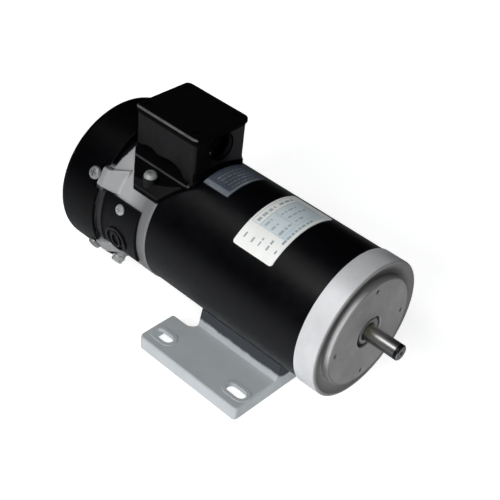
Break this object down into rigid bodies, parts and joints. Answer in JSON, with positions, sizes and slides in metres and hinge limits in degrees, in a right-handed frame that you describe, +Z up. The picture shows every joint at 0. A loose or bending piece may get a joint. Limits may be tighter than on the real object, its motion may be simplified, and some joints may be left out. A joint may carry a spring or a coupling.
{
  "type": "electric motor",
  "caption": "Foot-mounted brushed DC motor with tubular stator, cast endshields, fan cover, junction box and a round output shaft.",
  "frame": {"origin": "shaft axis at the plane of the front mounting face", "axes": "+X along the shaft, pointing out of the output end; +Z up, away from the base"},
  "size_m": [0.2825, 0.161, 0.153],
  "materials": {
    "black_paint": "satin black paint on drawn steel tube",
    "black_cover": "satin black textured paint",
    "black_plastic": "moulded black plastic, fine texture",
    "cover_plastic": "moulded dark grey-black plastic",
    "cast_aluminium": "machined and silver painted casting",
    "silver_paint": "silver grey paint",
    "plate_print": "printed aluminium plate, plain ruled blocks",
    "label_print": "printed film label, plain blocks",
    "ground_steel": "ground and polished shaft",
    "ferrite": "sintered ferrite",
    "lamination": "stacked electrical steel laminations",
    "copper_enamel": "enamelled copper wire",
    "phenolic": "phenolic moulding",
    "copper": "hard drawn copper",
    "holder_brass": "pressed brass",
    "carbon": "electrographite",
    "spring_steel": "spring steel",
    "fan_plastic": "moulded nylon",
    "seal_rubber": "nitrile rubber",
    "lead_insulation": "silicone lead insulation",
    "black_screw": "black oxide screw",
    "bearing_steel": "ground bearing steel",
    "zinc_screw": "zinc plated fastener"
  },
  "bodies": {
    "stator": {"base_bolts": "zinc_screw", "base_washers": "zinc_screw", "bottom_cover": "cover_plastic", "box_screws": "zinc_screw", "box_washers": "zinc_screw", "brush_cover_left": "cover_plastic", "brush_cover_right": "cover_plastic", "brush_holder_left": "holder_brass", "brush_holder_right": "holder_brass", "brush_holder_screws": "zinc_screw", "brush_ring": "phenolic", "brush_spring_left": "spring_steel", "brush_spring_right": "spring_steel", "earth_screw": "zinc_screw", "earth_washer": "zinc_screw", "fan_cover": "black_cover", "fan_cover_screws": "zinc_screw", "field_magnets": "ferrite", "front_bearing_outer_ring": "bearing_steel", "front_bearing_seal": "seal_rubber", "front_endshield": "cast_aluminium", "ground_screw": "holder_brass", "holder_cap_left": "phenolic", "holder_cap_right": "phenolic", "junction_box": "black_plastic", "junction_box_lid": "black_plastic", "lid_gasket": "seal_rubber", "lid_screws": "black_screw", "motor_leads": "lead_insulation", "mounting_base": "silver_paint", "nameplate": "plate_print", "preload_washer": "spring_steel", "rating_label": "label_print", "rear_bearing_outer_ring": "bearing_steel", "rear_endshield": "cast_aluminium", "stator_shell": "black_paint", "terminal_block": "phenolic", "terminal_screws": "zinc_screw", "terminal_tabs": "holder_brass", "through_bolt_washers": "zinc_screw", "through_bolts": "zinc_screw", "window_cover_screws": "zinc_screw"},
    "rotor": {"shaft": "ground_steel", "armature_core": "lamination", "armature_winding": "copper_enamel", "end_insulators": "phenolic", "commutator_bars": "copper", "commutator_hub": "phenolic", "cooling_fan": "fan_plastic", "fan_clip": "spring_steel", "front_bearing_inner_ring": "bearing_steel", "rear_bearing_inner_ring": "bearing_steel"},
    "front_ball_set": {"front_bearing_balls": "bearing_steel", "front_bearing_cage": "spring_steel"},
    "rear_ball_set": {"rear_bearing_balls": "bearing_steel", "rear_bearing_cage": "spring_steel"},
    "brush_left_slider": {"brush_left": "carbon"},
    "brush_right_slider": {"brush_right": "carbon"}
  },
  "joints": [
    {"name": "shaft_spin", "type": "hinge", "parent": "stator", "child": "rotor", "pos_m": [0, 0, 0], "axis": [1, 0, 0], "continuous": true},
    {"name": "front_cage_spin", "type": "hinge", "parent": "stator", "child": "front_ball_set", "pos_m": [-0.0105, 0, 0], "axis": [1, 0, 0], "continuous": true},
    {"name": "rear_cage_spin", "type": "hinge", "parent": "stator", "child": "rear_ball_set", "pos_m": [-0.2225, 0, 0], "axis": [1, 0, 0], "continuous": true},
    {"name": "brush_left_slide", "type": "slide", "parent": "stator", "child": "brush_left_slider", "axis": [0, -1, 0], "range_m": [0, 0.005], "stiffness_N_per_m": 150, "springref_m": -0.02, "deforming": ["brush_spring_left"]},
    {"name": "brush_right_slide", "type": "slide", "parent": "stator", "child": "brush_right_slider", "axis": [0, 1, 0], "range_m": [0, 0.005], "stiffness_N_per_m": 150, "springref_m": -0.02, "deforming": ["brush_spring_right"]}
  ],
  "couplings": [
    {"joint": "front_cage_spin", "follows": "shaft_spin", "ratio": 0.38096},
    {"joint": "rear_cage_spin", "follows": "shaft_spin", "ratio": 0.38096}
  ]
}
